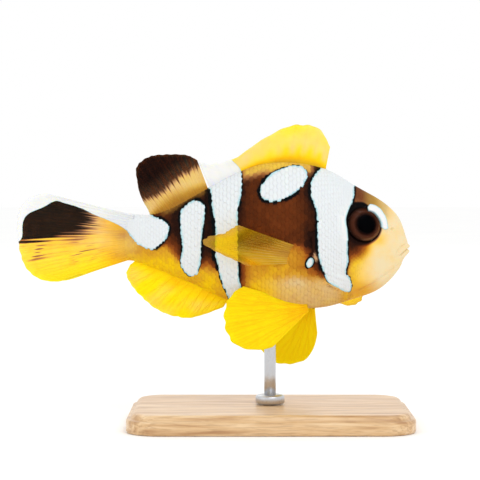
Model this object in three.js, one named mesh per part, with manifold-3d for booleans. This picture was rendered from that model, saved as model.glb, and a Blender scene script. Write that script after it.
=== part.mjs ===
// A young Clark's clownfish at life size, held over a flat base by one rod.
// Millimetres, +Z up. The fish looks along +X and its left side is +Y. The origin is the middle
// of the underside of the base.
import * as THREE from 'three';
import { mergeVertices } from 'three/addons/utils/BufferGeometryUtils.js';
import Module from 'manifold-3d';

const wasm = await Module();
wasm.setup();

// ---------- Driving dimensions ----------
const BODY = 60;                        // snout to the root of the tail fin
const SNOUT = { x: 28.6, z: 36.2 };     // the tip of the closed mouth
const GAP = 0.3;                        // between neighbouring pieces
const BEND_FROM = -5;                   // the tail curves to the left behind this x
const BEND = 0.0018;                    // sideways shift for each squared millimetre behind it

const BACK_RIDGE = 1.2;                 // over 1 pinches a section towards its back
const BELLY_KEEL = 0.95;                // under 1 fills it out towards its belly
const BODY_RINGS = 31;
const BODY_SIDES = 24;

const FIN_ROOT = 1.1;                   // thickness of a fin where it grows from the body
const FIN_EDGE = 0.5;                   // and at its margin
const NOTCH = 0.045;                    // how far the skin between two rays falls short of them
const TAIL_NOTCH = 0.022;
const FIN_ROWS = 4;                     // steps from root to margin

const GILL_COVER = { x: 13.0, z: 36.4, length: 8.8, height: 15.6, tilt: 8, thickness: 1.2 };
const EYE = { along: 0.157, up: 0.086, side: 2.9, radius: 3.6, depth: 2.15 };

const BASE = { length: 58, width: 40, height: 4, corner: 7, bevel: 0.5 };
const ROD = { radius: 1.2, sides: 16, top: 30 };
const COLLAR = { radius: 3, height: 1.8, bevel: 0.5, sides: 20 };

// Body stations from the snout to the tail: [distance behind the snout, back, belly, half width]
// as shares of the body length. Back and belly are heights over the mouth.
const STATIONS = [
  [0.000, 0.000, 0.000, 0.000],
  [0.013, 0.038, -0.030, 0.026],
  [0.040, 0.107, -0.075, 0.044],
  [0.100, 0.167, -0.130, 0.066],
  [0.180, 0.216, -0.166, 0.085],
  [0.290, 0.277, -0.202, 0.101],
  [0.420, 0.299, -0.205, 0.108],
  [0.530, 0.286, -0.197, 0.099],
  [0.630, 0.243, -0.175, 0.080],
  [0.730, 0.189, -0.127, 0.062],
  [0.820, 0.142, -0.091, 0.046],
  [0.890, 0.119, -0.063, 0.036],
  [0.950, 0.122, -0.044, 0.029],
  [1.000, 0.125, -0.045, 0.023],
];

// Fins on the middle line, one row for each ruling ray from front to rear:
// [its root's distance behind the snout, its tip's, its tip's height over the mouth].
const SPINY_DORSAL = [
  [0.288, 0.272, 0.345],
  [0.329, 0.304, 0.402],
  [0.380, 0.356, 0.421],
  [0.435, 0.421, 0.413],
  [0.504, 0.504, 0.369],
  [0.562, 0.580, 0.314],
  [0.586, 0.611, 0.302],
  [0.635, 0.669, 0.289],
  [0.681, 0.719, 0.292],
];
const SOFT_DORSAL = [
  [0.687, 0.727, 0.304],
  [0.710, 0.765, 0.321],
  [0.744, 0.834, 0.323],
  [0.782, 0.892, 0.315],
  [0.813, 0.934, 0.281],
  [0.844, 0.932, 0.228],
  [0.868, 0.920, 0.180],
  [0.889, 0.892, 0.142],
];
const ANAL = [
  [0.614, 0.634, -0.196],
  [0.641, 0.689, -0.218],
  [0.679, 0.744, -0.232],
  [0.720, 0.799, -0.228],
  [0.761, 0.861, -0.204],
  [0.806, 0.909, -0.166],
  [0.851, 0.947, -0.125],
  [0.892, 0.966, -0.084],
  [0.933, 0.954, -0.053],
];
// The tail fin from top to bottom: [its root's height over the mouth, its tip's distance behind
// the snout, its tip's height].
const CAUDAL = [
  [0.124, 1.246, 0.189],
  [0.112, 1.290, 0.179],
  [0.097, 1.324, 0.156],
  [0.081, 1.343, 0.122],
  [0.064, 1.347, 0.081],
  [0.045, 1.345, 0.029],
  [0.026, 1.334, -0.030],
  [0.006, 1.309, -0.080],
  [-0.016, 1.262, -0.109],
  [-0.034, 1.206, -0.114],
  [-0.042, 1.172, -0.108],
];

// Fins of a pair. reach is the way that the middle ray points, across the way from the first
// ray's root to the last one's, spread the angle that the rays fan through, and bow how far the
// longest ray curves off its own plane.
const PECTORAL_RIGHT = {
  root: [7.6, -5.2, 34.1], reach: [-0.93, -0.33, 0.14], across: [-0.16, 0.15, -0.97],
  width: 6.0, spread: 8, lengths: [14.5, 19.0, 22.0, 22.4, 20.6, 16.5, 11.5, 7.5], bow: -2.6,
};
const PECTORAL_LEFT = {
  root: [7.6, 5.2, 34.1], reach: [0.64, 0.60, -0.58], across: [-0.35, -0.15, -0.93],
  width: 6.0, spread: 34, lengths: [12.5, 16.0, 18.6, 18.8, 16.4, 12.0, 8.5, 6.0], bow: 1.6,
};
const PELVIC_RIGHT = {
  root: [7.6, -1.9, 24.1], reach: [-0.93, -0.27, -0.22], across: [-0.2, 0.12, 0.97],
  width: 1.6, spread: 58, lengths: [12.8, 15.2, 17.2, 17.8, 17.4, 16.2, 13.6], bow: -0.8,
};
const PELVIC_LEFT = {
  root: [8.0, 1.9, 23.9], reach: [-0.40, 0.56, -0.72], across: [-0.93, 0.0, 0.42],
  width: 1.6, spread: 56, lengths: [10.8, 14.0, 16.2, 17.0, 16.8, 15.0, 12.5], bow: 0.8,
};
const RAYS = { spinyDorsal: 11, softDorsal: 15, anal: 14, caudal: 15, pectoral: 13, pelvic: 9 };

// Where the body parts, in the side view: [x, z] from the top down.
const SHOULDER = [[12.4, 58], [10.4, 47], [9.4, 41], [9.2, 36], [10.0, 31], [12.2, 27], [15.5, 20]];
const TAIL_CUT = [[-21.4, 58], [-22.4, 44], [-22.8, 39], [-22.4, 34], [-21.4, 20]];
const JAW_LINE = [[40, 36.6], [28.0, 36.4], [24.6, 34.2], [23.4, 31.5], [22.6, 26], [22.6, 20]];
const FRONT = 40;                       // beyond the snout
const REAR = -40;                       // beyond the tail's root

const BROWN = 0x6b3518;
const DARK_BROWN = 0x33201a;
const YELLOW = 0xf7c81e;
const CREAM = 0xf3dca8;
const WHITE = 0xf0eff0;
const EYE_BROWN = 0x2a120a;
const MAPLE = 0xd9b98a;
const STEEL = 0xb9bcc0;

// ---------- Helpers ----------
const { lerp, degToRad } = THREE.MathUtils;

// Smooth values through rows, which lie evenly from 0 to 1 or at the given places.
function through(rows, places = rows.map((_, k) => k / (rows.length - 1))) {
  const curve = new THREE.CubicInterpolant(places, rows.flat(), rows[0].length);
  return (u) => Array.from(curve.evaluate(u));
}

// The x and z of a place given in shares of the body length.
const place = (along, up) => [SNOUT.x - along * BODY, SNOUT.z + up * BODY];

function closedMesh(positions, faces) {
  const geometry = new THREE.BufferGeometry();
  geometry.setAttribute('position', new THREE.Float32BufferAttribute(positions.flat(), 3));
  geometry.setIndex(faces.flat());
  return geometry;
}

function solidOf(geometry) {
  const bare = geometry.clone();
  bare.deleteAttribute('normal');
  bare.deleteAttribute('uv');
  const merged = mergeVertices(bare, 1e-4);
  return new wasm.Manifold(new wasm.Mesh({
    numProp: 3,
    vertProperties: new Float32Array(merged.attributes.position.array),
    triVerts: new Uint32Array(merged.index.array),
  }));
}

function geometryOf(solid) {
  const mesh = solid.getMesh();
  const geometry = new THREE.BufferGeometry();
  geometry.setAttribute('position', new THREE.BufferAttribute(mesh.vertProperties, 3));
  geometry.setIndex(new THREE.BufferAttribute(mesh.triVerts, 1));
  return geometry;
}

// A block right across the fish, from one y to another, on an outline in the side view.
function sideBlock(outline, fromY = -30, toY = 30) {
  const shape = new THREE.Shape(outline.map(([x, z]) => new THREE.Vector2(x, z)));
  const block = new THREE.ExtrudeGeometry(shape, { depth: toY - fromY, bevelEnabled: false });
  block.rotateX(Math.PI / 2);
  block.translate(0, toY, 0);
  return solidOf(block);
}

const shifted = (outline, dx, dz) => outline.map(([x, z]) => [x + dx, z + dz]);

// ---------- Body ----------
// Stations are spaced by the square root of the distance, which rounds the snout.
const stationAt = through(STATIONS.map((row) => row.slice(1)), STATIONS.map((row) => Math.sqrt(row[0])));
const backAt = (along) => stationAt(Math.sqrt(along))[0];
const bellyAt = (along) => stationAt(Math.sqrt(along))[1];

// The whole body as one loft, grown all round by a distance, or shrunk by a negative one.
function bodyLoft(grow = 0) {
  const positions = [[SNOUT.x + grow, 0, SNOUT.z]];
  const faces = [];
  for (let ring = 1; ring <= BODY_RINGS; ring += 1) {
    const q = ring / BODY_RINGS;
    const [back, belly, half] = stationAt(q).map((share) => share * BODY);
    const x = SNOUT.x - q * q * BODY + grow * Math.max(0, 1 - 4 * q);
    const middle = SNOUT.z + (back + belly) / 2;
    for (let side = 0; side < BODY_SIDES; side += 1) {
      const turn = (2 * Math.PI * side) / BODY_SIDES;
      const pinch = Math.cos(turn) > 0 ? BACK_RIDGE : BELLY_KEEL;
      const y = (half + grow) * Math.sign(Math.sin(turn)) * Math.abs(Math.sin(turn)) ** pinch;
      positions.push([x, y, middle + ((back - belly) / 2 + grow) * Math.cos(turn)]);
    }
  }
  const tail = positions.length;
  const [tailX, tailZ] = place(1, (backAt(1) + bellyAt(1)) / 2);
  positions.push([tailX, 0, tailZ]);
  const last = tail - BODY_SIDES;
  for (let side = 0; side < BODY_SIDES; side += 1) {
    const next = (side + 1) % BODY_SIDES;
    faces.push([0, 1 + next, 1 + side], [last + side, last + next, tail]);
    for (let a = 1; a < last; a += BODY_SIDES) {
      const b = a + BODY_SIDES;
      faces.push([a + side, a + next, b + next], [a + side, b + next, b + side]);
    }
  }
  return solidOf(closedMesh(positions, faces));
}

// ---------- Fins ----------
// A closed thin sheet over surface(u, v, column): u runs along the root, v out to the margin.
function sheet(surface, columns) {
  const rows = FIN_ROWS;
  const point = (i, j) => surface(i / columns, j / rows, i);
  const positions = [];
  for (let i = 0; i <= columns; i += 1) {
    for (let j = 0; j <= rows; j += 1) {
      const along = point(Math.min(i + 1, columns), j).sub(point(Math.max(i - 1, 0), j));
      const out = point(i, Math.min(j + 1, rows)).sub(point(i, Math.max(j - 1, 0)));
      const thickness = lerp(FIN_ROOT, FIN_EDGE, j / rows);
      const half = along.cross(out).normalize().multiplyScalar(thickness / 2);
      positions.push(point(i, j).add(half).toArray(), point(i, j).sub(half).toArray());
    }
  }
  const index = (i, j, under) => 2 * (i * (rows + 1) + j) + under;
  const faces = [];
  const quad = (a, b, c, d) => faces.push([a, b, c], [a, c, d]);
  const wall = (a, b) => quad(index(...a, 1), index(...b, 1), index(...b, 0), index(...a, 0));
  for (let i = 0; i < columns; i += 1) {
    for (let j = 0; j < rows; j += 1) {
      quad(index(i, j, 0), index(i + 1, j, 0), index(i + 1, j + 1, 0), index(i, j + 1, 0));
      quad(index(i, j, 1), index(i, j + 1, 1), index(i + 1, j + 1, 1), index(i + 1, j, 1));
    }
    wall([i, 0], [i + 1, 0]);
    wall([i + 1, rows], [i, rows]);
  }
  for (let j = 0; j < rows; j += 1) {
    wall([0, j + 1], [0, j]);
    wall([columns, j], [columns, j + 1]);
  }
  return solidOf(closedMesh(positions, faces));
}

// Odd columns are rays, and the skin in the even columns between them ends a little short.
const reachOf = (v, column, notch) => v * (column % 2 ? 1 : 1 - notch);

// A fin on the middle line. rootAt(along) is the height of its root.
function middleFin(rulingRays, rayCount, rootAt) {
  const ruling = through(rulingRays);
  return sheet((u, v, column) => {
    const [rootAlong, tipAlong, tipUp] = ruling(u);
    const reach = reachOf(v, column, NOTCH);
    const [x, z] = place(lerp(rootAlong, tipAlong, reach), lerp(rootAt(rootAlong), tipUp, reach));
    return new THREE.Vector3(x, 0, z);
  }, 2 * rayCount);
}

function caudalFin() {
  const ruling = through(CAUDAL);
  const root = 1 + GAP / BODY;
  return sheet((u, v, column) => {
    const [rootUp, tipAlong, tipUp] = ruling(u);
    const reach = reachOf(v, column, TAIL_NOTCH);
    const [x, z] = place(lerp(root, tipAlong, reach), lerp(rootUp, tipUp, reach));
    return new THREE.Vector3(x, 0, z);
  }, 2 * RAYS.caudal);
}

function pairedFin({ root, reach, across, width, spread, lengths, bow }, rayCount) {
  const out = new THREE.Vector3(...reach).normalize();
  const over = new THREE.Vector3(...across).projectOnPlane(out).normalize();
  const face = new THREE.Vector3().crossVectors(out, over);
  const lengthAt = through(lengths.map((length) => [length]));
  const longest = Math.max(...lengths);
  return sheet((u, v, column) => {
    const turn = degToRad(spread) * (u - 0.5);
    const distance = lengthAt(u)[0] * reachOf(v, column, NOTCH);
    return new THREE.Vector3(...root)
      .addScaledVector(over, width * (u - 0.5) + distance * Math.sin(turn))
      .addScaledVector(out, distance * Math.cos(turn))
      .addScaledVector(face, bow * (distance / longest) ** 2);
  }, 2 * rayCount);
}

// ---------- Eyes and gill covers ----------
function eyeball(side, grow = 0) {
  const ball = new THREE.SphereGeometry(1, 18, 10);
  ball.scale(EYE.radius + grow, EYE.radius + grow, EYE.depth + grow);
  ball.rotateX(Math.PI / 2);
  const [x, z] = place(EYE.along, EYE.up);
  ball.translate(x, side * EYE.side, z);
  return solidOf(ball);
}

// The block that a gill cover is cut from, on one side of the middle plane.
function coverBlock(side, grow = 0) {
  const { x, z, length, height, tilt } = GILL_COVER;
  const ring = new THREE.EllipseCurve(
    x, z, length / 2 + grow, height / 2 + grow, 0, 2 * Math.PI, false, degToRad(tilt),
  );
  const outline = ring.getPoints(18).slice(1).map((point) => [point.x, point.y]);
  return side < 0 ? sideBlock(outline, -30, 0) : sideBlock(outline, 0, 30);
}

// ---------- The fish ----------
const body = bodyLoft();
const clearance = bodyLoft(GAP);
const underCover = bodyLoft(-GILL_COVER.thickness);
const gillWall = bodyLoft(-GILL_COVER.thickness - GAP);

const jawZone = [...JAW_LINE, [FRONT, 20]];
const headBlock = body.intersect(sideBlock([...SHOULDER, [FRONT, 20], [FRONT, 58]]));
const trunkZone = [...shifted(SHOULDER, -GAP, 0), ...TAIL_CUT.toReversed()];
const tailZone = [...shifted(TAIL_CUT, -GAP, 0), [REAR, 20], [REAR, 58]];

function headSolid() {
  const gillPockets = coverBlock(-1, GAP).add(coverBlock(1, GAP)).subtract(gillWall);
  return headBlock
    .subtract(sideBlock(shifted(jawZone, -GAP, GAP)))
    .subtract(gillPockets)
    .subtract(eyeball(-1, GAP))
    .subtract(eyeball(1, GAP));
}

const gillCover = (side) => headBlock.intersect(coverBlock(side)).subtract(underCover);

// Behind BEND_FROM the fish curves to its left.
function bent(geometry) {
  const spots = geometry.attributes.position;
  for (let k = 0; k < spots.count; k += 1) {
    const behind = Math.max(0, BEND_FROM - spots.getX(k));
    spots.setY(k, spots.getY(k) + BEND * behind * behind);
  }
  return geometry;
}

function namedMesh(name, geometry, color, roughness, metalness = 0) {
  const mesh = new THREE.Mesh(geometry, new THREE.MeshStandardMaterial({ color, roughness, metalness }));
  mesh.name = name;
  return mesh;
}

const fish = new THREE.Group();

function addPiece(name, solid, color, roughness = 0.5) {
  fish.add(namedMesh(name, bent(geometryOf(solid)), color, roughness));
}

addPiece('head', headSolid(), CREAM);
addPiece('lower_jaw', body.intersect(sideBlock(jawZone)), CREAM);
addPiece('gill_cover_right', gillCover(-1), WHITE);
addPiece('gill_cover_left', gillCover(1), WHITE);
addPiece('trunk', body.intersect(sideBlock(trunkZone)), BROWN);
addPiece('tail_stem', body.intersect(sideBlock(tailZone)), YELLOW);

const overBack = (along) => backAt(along) + 1.2 * GAP / BODY;
const underBelly = (along) => bellyAt(along) - 1.2 * GAP / BODY;
addPiece('dorsal_fin_spiny', middleFin(SPINY_DORSAL, RAYS.spinyDorsal, overBack), YELLOW);
addPiece('dorsal_fin_soft', middleFin(SOFT_DORSAL, RAYS.softDorsal, overBack), DARK_BROWN);
addPiece('anal_fin', middleFin(ANAL, RAYS.anal, underBelly), YELLOW);
addPiece('caudal_fin', caudalFin(), YELLOW);

addPiece('pectoral_fin_right', pairedFin(PECTORAL_RIGHT, RAYS.pectoral).subtract(clearance), YELLOW);
addPiece('pectoral_fin_left', pairedFin(PECTORAL_LEFT, RAYS.pectoral).subtract(clearance), YELLOW);
addPiece('pelvic_fin_right', pairedFin(PELVIC_RIGHT, RAYS.pelvic).subtract(clearance), YELLOW);
addPiece('pelvic_fin_left', pairedFin(PELVIC_LEFT, RAYS.pelvic).subtract(clearance), YELLOW);

addPiece('eye_right', eyeball(-1), EYE_BROWN, 0.1);
addPiece('eye_left', eyeball(1), EYE_BROWN, 0.1);

// ---------- The stand ----------
function baseGeometry() {
  const x = BASE.length / 2 - BASE.bevel;
  const y = BASE.width / 2 - BASE.bevel;
  const r = BASE.corner;
  const outline = new THREE.Shape();
  outline.absarc(x - r, y - r, r, 0, 0.5 * Math.PI);
  outline.absarc(r - x, y - r, r, 0.5 * Math.PI, Math.PI);
  outline.absarc(r - x, r - y, r, Math.PI, 1.5 * Math.PI);
  outline.absarc(x - r, r - y, r, 1.5 * Math.PI, 2 * Math.PI);
  const block = new THREE.ExtrudeGeometry(outline, {
    depth: BASE.height - 2 * BASE.bevel, curveSegments: 6,
    bevelThickness: BASE.bevel, bevelSize: BASE.bevel, bevelSegments: 1,
  });
  return block.translate(0, 0, BASE.bevel);
}

const onBase = BASE.height + GAP;

function rodGeometry() {
  const rod = new THREE.CylinderGeometry(ROD.radius, ROD.radius, ROD.top - onBase, ROD.sides);
  rod.rotateX(Math.PI / 2);
  rod.translate(0, 0, (ROD.top + onBase) / 2);
  return geometryOf(solidOf(rod).subtract(clearance));
}

function collarGeometry() {
  const { radius, height, bevel, sides } = COLLAR;
  const inner = ROD.radius + GAP;
  const profile = [
    [inner, 0], [radius, 0], [radius, height - bevel], [radius - bevel, height], [inner, height], [inner, 0],
  ];
  const collar = new THREE.LatheGeometry(profile.map(([r, up]) => new THREE.Vector2(r, up)), sides);
  collar.rotateX(Math.PI / 2);
  return collar.translate(0, 0, onBase);
}

const stand = new THREE.Group();
stand.add(
  namedMesh('stand_base', baseGeometry(), MAPLE, 0.45),
  namedMesh('stand_rod', rodGeometry(), STEEL, 0.3, 1),
  namedMesh('stand_collar', collarGeometry(), STEEL, 0.3, 1),
);

const model = new THREE.Group();
model.add(fish, stand);

export default model;
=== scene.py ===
"""The looks of a life-size clownfish display model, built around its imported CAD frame.

Lengths are metres unless a name ends in _mm. A place on the fish is a share of its body length:
"along" is the distance behind the snout, and "up" the height over the mouth. A turn goes round
a section of the body from the back: 90 degrees is the middle of the left side.
"""

import math

import bpy
import numpy as np
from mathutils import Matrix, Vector


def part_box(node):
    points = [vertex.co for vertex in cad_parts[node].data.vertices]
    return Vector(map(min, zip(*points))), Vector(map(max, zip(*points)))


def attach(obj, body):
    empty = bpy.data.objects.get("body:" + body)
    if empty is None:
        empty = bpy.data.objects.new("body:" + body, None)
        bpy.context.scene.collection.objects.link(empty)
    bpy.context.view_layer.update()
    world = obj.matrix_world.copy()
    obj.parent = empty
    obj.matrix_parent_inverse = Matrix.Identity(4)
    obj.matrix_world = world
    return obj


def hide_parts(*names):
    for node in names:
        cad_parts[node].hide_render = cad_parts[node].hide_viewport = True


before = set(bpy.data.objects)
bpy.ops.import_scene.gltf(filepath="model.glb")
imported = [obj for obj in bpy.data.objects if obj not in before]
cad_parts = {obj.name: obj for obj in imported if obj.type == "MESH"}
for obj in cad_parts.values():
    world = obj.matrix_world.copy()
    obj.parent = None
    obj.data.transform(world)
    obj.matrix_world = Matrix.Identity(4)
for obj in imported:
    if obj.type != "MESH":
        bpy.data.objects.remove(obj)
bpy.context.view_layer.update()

# ---------- Driving dimensions ----------
MM = 0.001
TURN = 2 * math.pi
SNOUT_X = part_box("lower_jaw")[1].x
BODY = SNOUT_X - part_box("tail_stem")[0].x
BODY_MM = BODY / MM
DEEPEST_BACK = 0.299
MOUTH_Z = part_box("trunk")[1].z - DEEPEST_BACK * BODY
BEND_FROM = -5 * MM
BEND = 0.0018 / MM

BACK_RIDGE = 1.2
BELLY_KEEL = 0.95
COAT = 0.12 * MM


def shares(thousandths):
    return np.array(thousandths) / 1000


# Body stations, in thousandths: [along, height of the back, height of the belly, half width].
STATIONS = shares([
    [0, 0, 0, 0], [13, 38, -30, 26], [40, 107, -75, 44], [100, 167, -130, 66], [180, 216, -166, 85],
    [290, 277, -202, 101], [420, 299, -205, 108], [530, 286, -197, 99], [630, 243, -175, 80],
    [730, 189, -127, 62], [820, 142, -91, 46], [890, 119, -63, 36], [950, 122, -44, 29],
    [1000, 125, -45, 23],
])

# Fins on the middle line, a row for each ruling ray: [root's along, tip's along, tip's up].
SPINY_DORSAL = shares([
    [288, 272, 345], [329, 304, 402], [380, 356, 421], [435, 421, 413], [504, 504, 369], [562, 580, 314],
    [586, 611, 302], [635, 669, 289], [681, 719, 292],
])
SOFT_DORSAL = shares([
    [687, 727, 304], [710, 765, 321], [744, 834, 323], [782, 892, 315], [813, 934, 281], [844, 932, 228],
    [868, 920, 180], [889, 892, 142],
])
ANAL = shares([
    [614, 634, -196], [641, 689, -218], [679, 744, -232], [720, 799, -228], [761, 861, -204],
    [806, 909, -166], [851, 947, -125], [892, 966, -84], [933, 954, -53],
])
# The tail fin from top to bottom: [root's up, tip's along, tip's up].
CAUDAL = shares([
    [124, 1246, 189], [112, 1290, 179], [97, 1324, 156], [81, 1343, 122], [64, 1347, 81], [45, 1345, 29],
    [26, 1334, -30], [6, 1309, -80], [-16, 1262, -109], [-34, 1206, -114], [-42, 1172, -108],
])
# Fins of a pair, in millimetres: the root's middle, the way that the middle ray points, the way
# from the first ray to the last, the root's width, the fan in degrees, the rays' lengths, and
# how far the longest ray bows off its plane.
PAIRED_FINS = {
    "pectoral_right": ((7.4, -5.1, 34.8), (-0.93, -0.33, 0.14), (-0.16, 0.15, -0.97), 2.8, 21,
                       [15.5, 16.5, 17.9, 20.7, 21.2, 17.9, 14.6, 12.0], -2.4),
    "pectoral_left": ((7.6, 5.2, 34.1), (0.64, 0.6, -0.58), (-0.35, -0.15, -0.93), 6.0, 34,
                      [13.5, 17.3, 20.0, 20.2, 17.6, 13.0, 9.2, 6.5], 1.6),
    "pelvic_right": ((7.6, -1.9, 24.1), (-0.93, -0.27, -0.22), (-0.2, 0.12, 0.97), 1.6, 58,
                     [10.4, 14.4, 17.1, 17.8, 17.4, 16.2, 13.6], -0.8),
    "pelvic_left": ((8.5, 1.9, 24.2), (-0.39, 0.56, -0.73), (-0.93, 0.0, 0.42), 1.8, 60,
                    [6.0, 12.9, 16.2, 17.7, 17.2, 16.6, 14.5], 0.8),
}
EYE_ALONG = 0.157
EYE_UP = 0.086
EYE_MM = 3.6


# ---------- Numbers ----------
def smooth(low, high, value):
    """0 below low, 1 above high, and an S between them. High may be the smaller."""
    share = np.clip((value - low) / (high - low), 0, 1)
    return share * share * (3 - 2 * share)


def within(low, start, end, high, value):
    """1 from start to end, and 0 below low and above high."""
    return smooth(low, start, value) * smooth(high, end, value)


def mix(a, b, share):
    return a + (b - a) * share


def bump(distance, width):
    return np.exp(-(distance / width) ** 2)


def grid(rows, columns):
    return np.meshgrid(rows, columns, indexing="ij")


def unit(vectors):
    return vectors / np.maximum(np.linalg.norm(vectors, axis=-1, keepdims=True), 1e-12)


def curve_through(places, rows):
    """A smooth function through rows of values at the given places."""
    places = np.asarray(places, float)
    rows = np.asarray(rows, float).reshape(len(places), -1)
    steps = np.diff(places)[:, None]
    chords = np.diff(rows, axis=0) / steps
    slopes = np.vstack([chords[:1], (chords[1:] + chords[:-1]) / 2, chords[-1:]])

    def value(x):
        x = np.asarray(x, float)
        k = np.clip(np.searchsorted(places, x, side="right") - 1, 0, len(places) - 2)
        h = steps[k]
        t = ((x - places[k]) / steps[k, 0])[..., None]
        start = rows[k] * (2 * t**3 - 3 * t**2 + 1) + slopes[k] * h * (t**3 - 2 * t**2 + t)
        return start + rows[k + 1] * (3 * t**2 - 2 * t**3) + slopes[k + 1] * h * (t**3 - t**2)

    return value


def waves(x, y, seed, count=9):
    """A smooth random field between about -1 and 1, with features about one unit across."""
    rng = np.random.default_rng(seed)
    total = np.zeros(np.shape(x))
    for _ in range(count):
        angle = rng.uniform(0, TURN)
        rate = rng.uniform(0.6, 1.5) * math.pi
        total = total + np.sin(rate * (x * math.cos(angle) + y * math.sin(angle)) + rng.uniform(0, 7))
    return total / math.sqrt(count)


def spline(thousandths, closed=False, steps=5):
    """A smooth line through points in the side view, with steps pieces between two of them."""
    points = shares(thousandths)
    places = np.arange(len(points))
    pieces = len(points) - 1
    if closed:
        points = np.vstack([points[-1:], points, points[:2]])
        places = np.arange(-1, len(points) - 1)
        pieces += 1
    return curve_through(places, points)(np.arange(pieces * steps + 1) / steps)


def mm_from(line, along, up):
    """How far places lie from a line in the side view, and how far down the line, 0 to 1, the
    nearest point of it is. Inside a closed line is positive; so is the left of an open one."""
    x, y = np.ravel(along) * BODY_MM, np.ravel(up) * BODY_MM
    best = np.full(x.shape, 1e9)
    where = np.zeros(x.shape)
    side = np.ones(x.shape)
    inside = np.zeros(x.shape, bool)
    last = len(line) - 1
    for k in range(last):
        (ax, ay), (bx, by) = line[k] * BODY_MM, line[k + 1] * BODY_MM
        dx, dy = bx - ax, by - ay
        t = np.clip(((x - ax) * dx + (y - ay) * dy) / max(dx * dx + dy * dy, 1e-12), 0, 1)
        gap = (x - ax - t * dx) ** 2 + (y - ay - t * dy) ** 2
        nearer = gap < best
        best = np.where(nearer, gap, best)
        where = np.where(nearer, (k + t) / last, where)
        side = np.where(nearer, np.where(dx * (y - ay) - dy * (x - ax) >= 0, 1.0, -1.0), side)
        if ay != by:
            inside ^= ((ay > y) != (by > y)) & (x < ax + dx * (y - ay) / dy)
    sign = np.where(inside, 1.0, -1.0) if np.array_equal(line[0], line[-1]) else side
    return (sign * np.sqrt(best)).reshape(np.shape(along)), where.reshape(np.shape(along))


# ---------- The body's shape ----------
station_at = curve_through(np.sqrt(STATIONS[:, 0]), STATIONS[:, 1:])


def back_at(along):
    return station_at(np.sqrt(along))[..., 0]


def belly_at(along):
    return station_at(np.sqrt(along))[..., 1]


def loft(root_along, turn):
    """The straight body's surface. root_along is the square root of along."""
    back, belly, half = np.moveaxis(station_at(root_along), -1, 0) * BODY
    side = np.sin(turn)
    pinch = np.where(np.cos(turn) > 0, BACK_RIDGE, BELLY_KEEL)
    x = SNOUT_X - root_along**2 * BODY
    y = half * np.sign(side) * np.abs(side) ** pinch
    z = MOUTH_Z + (back + belly) / 2 + (back - belly) / 2 * np.cos(turn)
    return np.stack([x, y, z], -1)


def loft_normal(root_along, turn, step=2e-3):
    rearward = loft(root_along + step, turn) - loft(np.maximum(root_along - step, 0), turn)
    around = loft(root_along, turn + step) - loft(root_along, turn - step)
    return unit(np.cross(around, rearward))


def bent(points):
    """The fish curves to its left behind BEND_FROM."""
    behind = np.maximum(0, BEND_FROM - points[..., 0])
    moved = points.copy()
    moved[..., 1] += BEND * behind**2
    return moved


# ---------- Relief of the skin ----------
GILL_EDGE = spline([
    [292, 128], [322, 85], [336, 30], [336, -25], [320, -72], [292, -108], [262, -130], [225, -143.5],
])
CHEEK_EDGE = spline([
    [214, 30], [232, 0], [236, -45], [222, -85], [190, -110], [140, -116],
])
THROAT_LINE = spline([[6, -31], [45, -60], [85, -87.5], [140, -122], [202, -152]])
UPPER_JAW = spline([[10, 20], [30, 10], [46, -10], [52, -36]])
MOUTH_LINE = spline([[-10, 2], [4, -1], [20, -12], [36, -28]])
NOSTRIL = (0.062, 0.07)
FIN_BASE = (0.362, -0.03)
HEAD_RELIEF_END = 0.39
STEM_SINKS = 0.93

# Round the eye, by degrees up from straight ahead: the radius of its opening, the middle of the
# white fold in front of it, and how much dark skin lies round it, all in millimetres.
EYE_OPENING = ([-180, -40, -18, 5, 30, 55, 77, 98, 125, 180],
               [3.55, 3.62, 3.56, 3.22, 2.98, 2.88, 2.7, 3.2, 3.5, 3.55])
WHITE_FOLD = ([-18, 5, 30, 55, 77], [4.32, 3.98, 3.72, 3.62, 3.42])
DARK_SKIN = ([-180, -150, -120, -95, -70, -40, 55, 70, 78, 90, 102, 115, 130, 150, 180],
             [0.45, 0.8, 0.85, 0.65, 0.35, 0.14, 0.1, 0.6, 1.3, 1.48, 1.45, 1.75, 1.45, 0.8, 0.45])


def round_eye(along, up):
    """Degrees up from straight ahead of the eye's middle, and millimetres from it."""
    ahead = (EYE_ALONG - along) * BODY_MM
    over = (up - EYE_UP) * BODY_MM
    return np.degrees(np.arctan2(over, ahead)), np.hypot(ahead, over)


def fold_mm(along, up):
    """Signed distance to the white fold over the front of the eye."""
    angle, away = round_eye(along, up)
    taper = np.sqrt(within(-20, -10, 72, 86, angle))
    half = 0.84 + 0.1 * smooth(0, 60, angle)
    return half * taper - 0.1 - 1.5 * (1 - taper) - np.abs(away - np.interp(angle, *WHITE_FOLD))


def gill_relief_mm(along, up):
    gap, where = mm_from(GILL_EDGE, along, up)
    teeth = 0.12 * np.abs(np.sin(where * 150)) * within(0.3, 0.45, 0.7, 0.85, where)
    behind = gap + teeth
    flap = mix(0.3, -0.26, smooth(-0.08, 0.08, behind))
    flap = flap * np.where(behind < 0, np.exp(behind / 1.6), np.exp(-behind / 0.7))
    folds = -0.07 * (bump(gap + 1.5, 0.28) + bump(gap + 2.8, 0.28)) * smooth(0.72, 0.85, where)
    return (flap + folds) * within(0.02, 0.16, 0.9, 1, where)


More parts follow.
